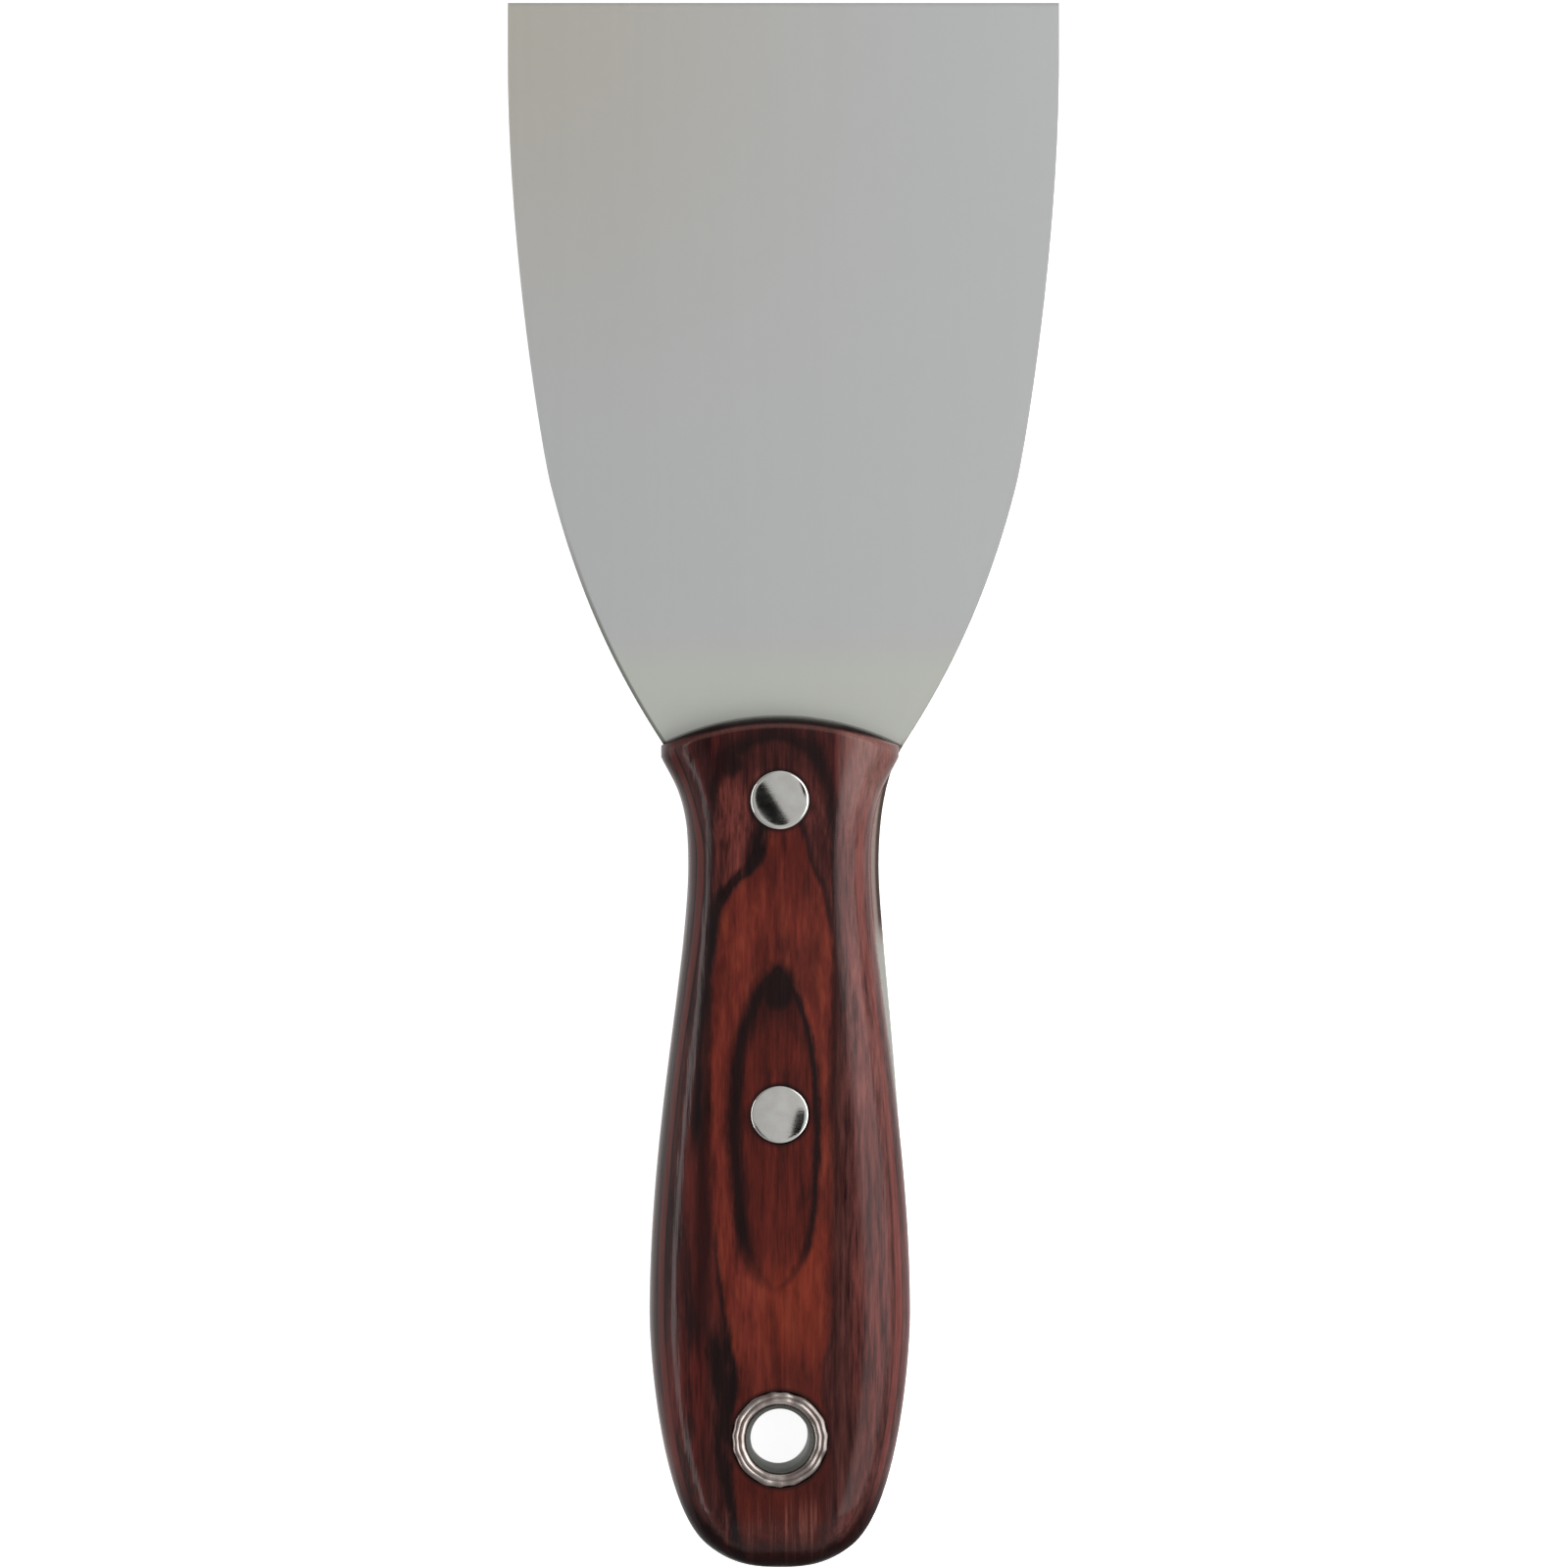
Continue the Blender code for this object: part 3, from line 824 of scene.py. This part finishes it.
def add_end_grain_and_rim_highlight(wood, colour):
    """The front end is dark end grain, with a painted highlight on the rim where it turns over."""
    rim = wood.forward.rise(0.05, 0.4) * wood.front
    # Painted highlight: paler where the front rounds over.
    colour = wood.blend(rim * 0.55, colour, srgb(96, 58, 54))
    return wood.blend(wood.end_grain * 0.95, colour, srgb(20, 9, 9))


def add_painted_sheen_and_red_tint(wood, colour):
    """A painted reflection on the right, a pale pink veil streaked with the grain and paler still at the
    shoulder, and a red cast low on the left.
    """
    right = wood.right * (1.0 - wood.end_grain)
    streaks = (wood.grain * 0.6 + 0.5).most(0.0).least(1.0)
    strength = 0.74 - wood.palm * 0.26 - wood.low_palm * 0.16
    # Painted reflection: the right flank is tinted pale pink, less so towards the palm and the butt.
    colour = wood.blend(right * streaks * strength, colour, srgb(142, 86, 80))
    shoulder_highlight = right * wood.station.rise(100.0, 108.0)
    # Painted highlight: paler still at the shoulder by the neck.
    colour = wood.blend(shoulder_highlight * 0.35, colour, srgb(150, 112, 106))
    return wood.blend(wood.low_left * wood.grain.rise(-0.8, 0.6) * 0.5, colour, srgb(118, 42, 34))


def add_painted_shade(wood, colour):
    """Painted shade in a ring round the metal and on the rounded butt."""
    metal = [(station, HEAD_RADIUS) for station in RIVET_STATIONS.values()]
    for station, radius in (*metal, (EYELET_STATION, RIM_RADIUS)):
        gap = wood.distance(station) - radius
        # Painted shade: a dark ring in the wood round each rivet head and the eyelet's rim.
        colour = wood.blend(gap.rise(0.7, 0.05) * 0.7, colour, NEAR_BLACK)
    # Painted shade: the rounded butt and its steep faces turn near black.
    return wood.blend(wood.butt * 0.85, colour, NEAR_BLACK)


def add_pores(wood, colour):
    shade = wood.fine * 0.1 + wood.broad * 0.08 + 1.0
    # The pale pore streaks are painted highlights.
    return wood.brighten(colour, shade - wood.dark_pores + wood.painted_pore_highlights)


def add_lacquer(wood):
    """A clear coat, rubbed thin on top and at the sides, which doesn't cover the end grain."""
    rubbed = wood.level.rise(0.95, 0.995) * 0.6
    thin = wood.right * (wood.palm * 0.1 + wood.low_palm * 0.15 + 0.25)
    thin = thin + wood.low_left * 0.2 + wood.left_neck * 0.2
    coat = 1.0 - rubbed - thin - wood.end_grain * 0.8 - wood.butt * 0.5
    wood.feed(wood.shader.inputs["Coat Weight"], coat.most(0.0))
    wood.constant(Coat_IOR=1.34, Coat_Roughness=0.15, Specular_IOR_Level=0.04)


def make_wood(name, side, seed):
    """Dyed, laminated veneer under clear lacquer."""
    wood = Veneer(name, side, seed)
    colour = face_colour(wood)
    for add in (add_layers, add_end_grain_and_rim_highlight, add_painted_sheen_and_red_tint, add_painted_shade, add_pores):
        colour = add(wood, colour)
    add_lacquer(wood)
    height = wood.broad * 1.6 + wood.narrow * 0.7 + wood.fine * 0.15 - wood.dark_pores * 0.5
    wood.relief(height, 0.014, "Normal", "Coat Normal")
    return wood.finish(colour, wood.fine * 0.06 + 0.5)


# The stations at which the painted edge shade reads the outline of the metal.
NECK_SAMPLES = (80, 86, 90, 95, 99, 102, 105, 108, 110.5, 113.4, 116, 120, 125, 130, 137, 145, 152)


def add_neck_stain_and_edge_shade(steel, colour):
    """Lacquer stains the strip beside the neck, and painted shade darkens the steel along its edge there and
    on towards the blade.
    """
    outline = [(station, metal_half_width(station)) for station in NECK_SAMPLES]
    inside = steel.station.along(outline) - (steel.x + HANDLE_X).size()
    upward = steel.facing()[2]
    neck = steel.station.rise(84.0, 90.0) * upward.size().rise(0.3, 0.6)
    stain = steel.station.rise(115.0, 111.0) * neck
    colour = steel.blend(stain * 0.9, colour, srgb(178, 156, 150))
    # Painted shade: a darker band within about 0.7 mm of the metal's edge.
    edge = inside.rise(0.7, 0.35) * steel.station.rise(150.0, 125.0) * neck
    # The colour of the painted edge shade, darker where the stain is.
    dull = steel.blend(stain, srgb(138, 140, 132), srgb(96, 84, 78))
    return steel.blend(edge * steel.x.rise(14.0, 12.0).most(stain), colour, dull)


def add_painted_contact_shadow(steel, colour):
    """A painted contact shadow: a dark line on the blade just ahead of the front of the wood."""
    centre = FRONT_APEX - FRONT_RADIUS
    line = (steel.distance(centre) - FRONT_RADIUS).size().rise(0.4, 0.1)
    ahead = (steel.station - centre).rise(0.0, 1.0)
    # Painted shadow along the front of the wood.
    return steel.blend(line * ahead * 0.6, colour, srgb(44, 32, 30))


def make_blade_steel():
    """Satin-ground spring steel: very fine lines along the blade and a few light scratches, with painted
    reflection tints.
    """
    steel = Surface("satin_steel", 1.0)
    lines = steel.noise((0.14, 60.0, 1.0), 2.0, 3.0, 0.7)
    cloud = steel.noise((60.0, 80.0, 20.0), 5.0, 1.0)
    scratch = steel.noise((0.5, 9.0, 1.0), 12.0, 1.0).rise(1.2, 1.5)
    # Painted reflection tints: warmer towards the tip on the left, greener near the handle.
    painted_warm_tint = steel.station.rise(150.0, LENGTH) * steel.x.rise(25.0, -40.0)
    tone = steel.blend(painted_warm_tint, srgb(200, 200, 200), srgb(200, 195, 186))
    tone = steel.blend(steel.station.rise(131.0, 122.0), tone, srgb(204, 205, 198))
    colour = steel.brighten(tone, lines * 0.008 + cloud * 0.004 + 1.0 - scratch * 0.03)
    colour = add_neck_stain_and_edge_shade(steel, colour)
    colour = add_painted_contact_shadow(steel, colour)
    steel.relief(lines * 0.6 - scratch, 0.0010)
    return steel.finish(colour, lines * 0.02 + 0.4)


def make_rivet_steel():
    """Polished rivet steel with hairline wipe marks."""
    steel = Surface("polished_steel", 1.0)
    wipes = steel.noise((2.5, 0.12, 2.5), 4.0, 2.0, 0.7)
    haze = steel.noise((2.0, 2.0, 2.0), 9.0, 3.0)
    colour = steel.blend(haze.rise(-0.8, 0.8), srgb(224, 219, 213), srgb(234, 232, 228))
    steel.relief(wipes, 0.0002)
    return steel.finish(colour, haze * 0.015 + wipes * 0.01 + 0.05)


def make_eyelet_steel():
    """Nickel-plated steel: a scuffed rim, bright at the mouth, darker on the right by painted shade, and dull
    inside the barrel.
    """
    steel = Surface("worn_plating", 1.0)
    mottle = steel.noise((2.2, 2.2, 2.2), 3.0, 2.0, 0.5)
    scuff = steel.noise((0.3, 1.8, 0.8), 7.0, 2.0, 0.6).rise(0.7, 1.3)
    radius = steel.distance(EYELET_STATION)
    barrel = radius.rise(4.72, 4.62)
    colour = steel.blend(mottle.rise(-0.7, 0.8), srgb(150, 133, 128), srgb(196, 184, 178))
    colour = steel.blend(scuff * 0.35, colour, srgb(120, 106, 100))
    colour = steel.blend((radius - 5.7).size().rise(0.16, 0.03) * 0.5, colour, srgb(90, 76, 72))
    colour = steel.blend(radius.rise(6.1, 6.45) * 0.5, colour, srgb(96, 74, 70))
    # Painted shade: the right side of the eyelet is darker.
    colour = steel.blend(steel.x.rise(1.0, 6.0) * 0.6, colour, srgb(124, 117, 113))
    colour = steel.blend(barrel, colour, srgb(152, 152, 146))
    steel.relief(mottle * 0.8 + scuff * 0.2, 0.012)
    return steel.finish(colour, mottle * 0.04 + barrel * 0.3 + 0.24)


# The set: camera, floor and light, in metres apart from the values named _MM.

CAMERA_HEIGHT = 2.6
CAMERA_X_MM = 0.07
CAMERA_Y_MM = 0.1
FRAME_HEIGHT_MM = 216.56
FLAG_DROP = 0.15


def make_camera():
    """Straight above the knife, as a long lens sees it."""
    data = bpy.data.cameras.new("camera")
    data.sensor_width = 36.0
    distance = CAMERA_HEIGHT - MID_PLANE * MM
    data.lens = data.sensor_width * distance / (FRAME_HEIGHT_MM * MM)
    camera = bpy.data.objects.new("camera", data)
    camera.location = (CAMERA_X_MM * MM, CAMERA_Y_MM * MM, CAMERA_HEIGHT)
    bpy.context.scene.collection.objects.link(camera)
    bpy.context.scene.camera = camera


def plain_material(name, colour, emission=0.0):
    made = bpy.data.materials.new(name)
    made.use_nodes = True
    shader = made.node_tree.nodes["Principled BSDF"]
    shader.inputs["Base Color"].default_value = (*[colour] * 3, 1.0)
    shader.inputs["Roughness"].default_value = 0.9
    shader.inputs["Emission Color"].default_value = (1.0, 1.0, 1.0, 1.0)
    shader.inputs["Emission Strength"].default_value = emission
    return made


def make_floor():
    """Back-lit white paper, which the steel and the lacquer don't mirror."""
    mesh = bmesh.new()
    bmesh.ops.create_grid(mesh, x_segments=1, y_segments=1, size=6.0)
    floor = add_object("floor", mesh, plain_material("white_paper", 0.9, 0.9))
    floor.visible_glossy = False
    floor.visible_diffuse = False


def make_backdrop():
    """The same paper, standing in a ring round the set, so that low views end in white."""
    mesh = bmesh.new()
    ring = {"cap_ends": False, "segments": 64, "radius1": 5.5, "radius2": 5.5, "depth": 6.0}
    bmesh.ops.create_cone(mesh, **ring)
    backdrop = add_object("backdrop", mesh, plain_material("backdrop_paper", 0.9, 0.9))
    backdrop.location.z = 2.9
    backdrop.visible_glossy = False
    backdrop.visible_diffuse = False
    backdrop.visible_shadow = False


def add_flag(name, outline, centre, turn_degrees=0.0):
    """A dark board overhead, which only a rivet's head mirrors. The outline is in metres."""
    mesh = bmesh.new()
    mesh.faces.new([mesh.verts.new((x, y, 0.0)) for x, y in outline])
    flag = add_object(name, mesh, plain_material(name, 0.0))
    flag.location = centre
    flag.rotation_euler.z = math.radians(turn_degrees)
    flag.visible_camera = False
    flag.visible_diffuse = False
    flag.visible_shadow = False


def make_flags():
    """One board fills the lower left of the neck rivet, and one the right edge of the palm rivet."""
    height = CAMERA_HEIGHT - FLAG_DROP
    # How far a mirrored ray lands from the middle, for each millimetre from the head's centre.
    spread = 4 * HEAD_DOME / (HEAD_RADIUS - HEAD_BEVEL) ** 2 * height

    rise = -2 * math.atan(head_slope(RIVET_STATIONS["neck"]))
    half_width = 1.4 * spread
    half_length = 3.2 * spread
    arc = np.linspace(0.0, math.pi, 13)
    ends = [(half_width * math.cos(a), half_length + half_width * math.sin(a)) for a in arc]
    capsule = ends + [(-x, -y) for x, y in ends]
    add_flag("neck_flag", capsule, (-1.7 * spread, height * math.tan(rise) - 1.1 * spread, height), 32.0)

    lean = height * math.tan(math.radians(-2 * HEAD_LEAN["palm"]))
    near, far = lean + 2.0 * spread, lean + 4.4 * spread
    low, high = -3.4 * spread, 1.5 * spread
    panel = [(near + 0.5 * spread, high), (near, 0.0), (near - 0.7 * spread, low), (far, low), (far, high)]
    add_flag("palm_flag", panel, (0.0, 2 * BUTT_Y * MM + 2 * RIVET_STATIONS["palm"] * MM, height))


def add_softbox(name, place, size, radiance, colour=(1.0, 1.0, 1.0)):
    """A rectangular light facing the knife. radiance is how bright it looks, in display white."""
    light = bpy.data.lights.new(name, "AREA")
    light.shape = "RECTANGLE"
    light.size, light.size_y = size
    light.energy = radiance * math.pi * size[0] * size[1]
    light.color = colour
    lamp = bpy.data.objects.new(name, light)
    lamp.location = place
    lamp.rotation_mode = "QUATERNION"
    lamp.rotation_quaternion = (-Vector(place)).to_track_quat("-Z", "Y")
    bpy.context.scene.collection.objects.link(lamp)


def make_room():
    """Soft grey surroundings, dimmer on the left, over a bright table."""
    world = bpy.data.worlds.new("studio")
    world.use_nodes = True
    bpy.context.scene.world = world
    room = Graph(world.node_tree)
    x, y, z = room.parts(room.node("ShaderNodeTexCoord").outputs["Generated"])
    above = 0.28 + x.rise(-0.45, 0.25) * 0.34 + z.rise(0.6, 0.2) * x.rise(0.5, 0.0) * 0.25
    below = 0.78 - y.size().rise(0.1, 0.6) * 0.68
    brightness = below + z.rise(-0.1, 0.15) * (above - below)
    background = room.tree.nodes["Background"]
    background.inputs["Color"].default_value = (0.98, 1.0, 1.0, 1.0)
    room.feed(background.inputs["Strength"], brightness)


def make_light():
    make_room()
    add_softbox("right_softbox", (1.0, 0.1, 0.95), (1.6, 1.5), 2.3)
    add_softbox("left_strip", (-1.4, 0.0, 0.56), (1.6, 0.28), 3.0)
    bpy.context.scene.view_settings.view_transform = "Standard"


def main():
    make_camera()
    make_floor()
    make_backdrop()
    make_flags()
    make_light()
    make_blade(make_blade_steel())
    make_scale("upper_wood_scale", "scale_upper", 1, make_wood("upper_veneer", 1, 0.0))
    make_scale("lower_wood_scale", "scale_lower", -1, make_wood("lower_veneer", -1, 41.0))
    polished = make_rivet_steel()
    for place, station in RIVET_STATIONS.items():
        make_rivet(place, station, polished)
    plating = make_eyelet_steel()
    make_eyelet(plating)
    make_eyelet_ring(plating)


main()
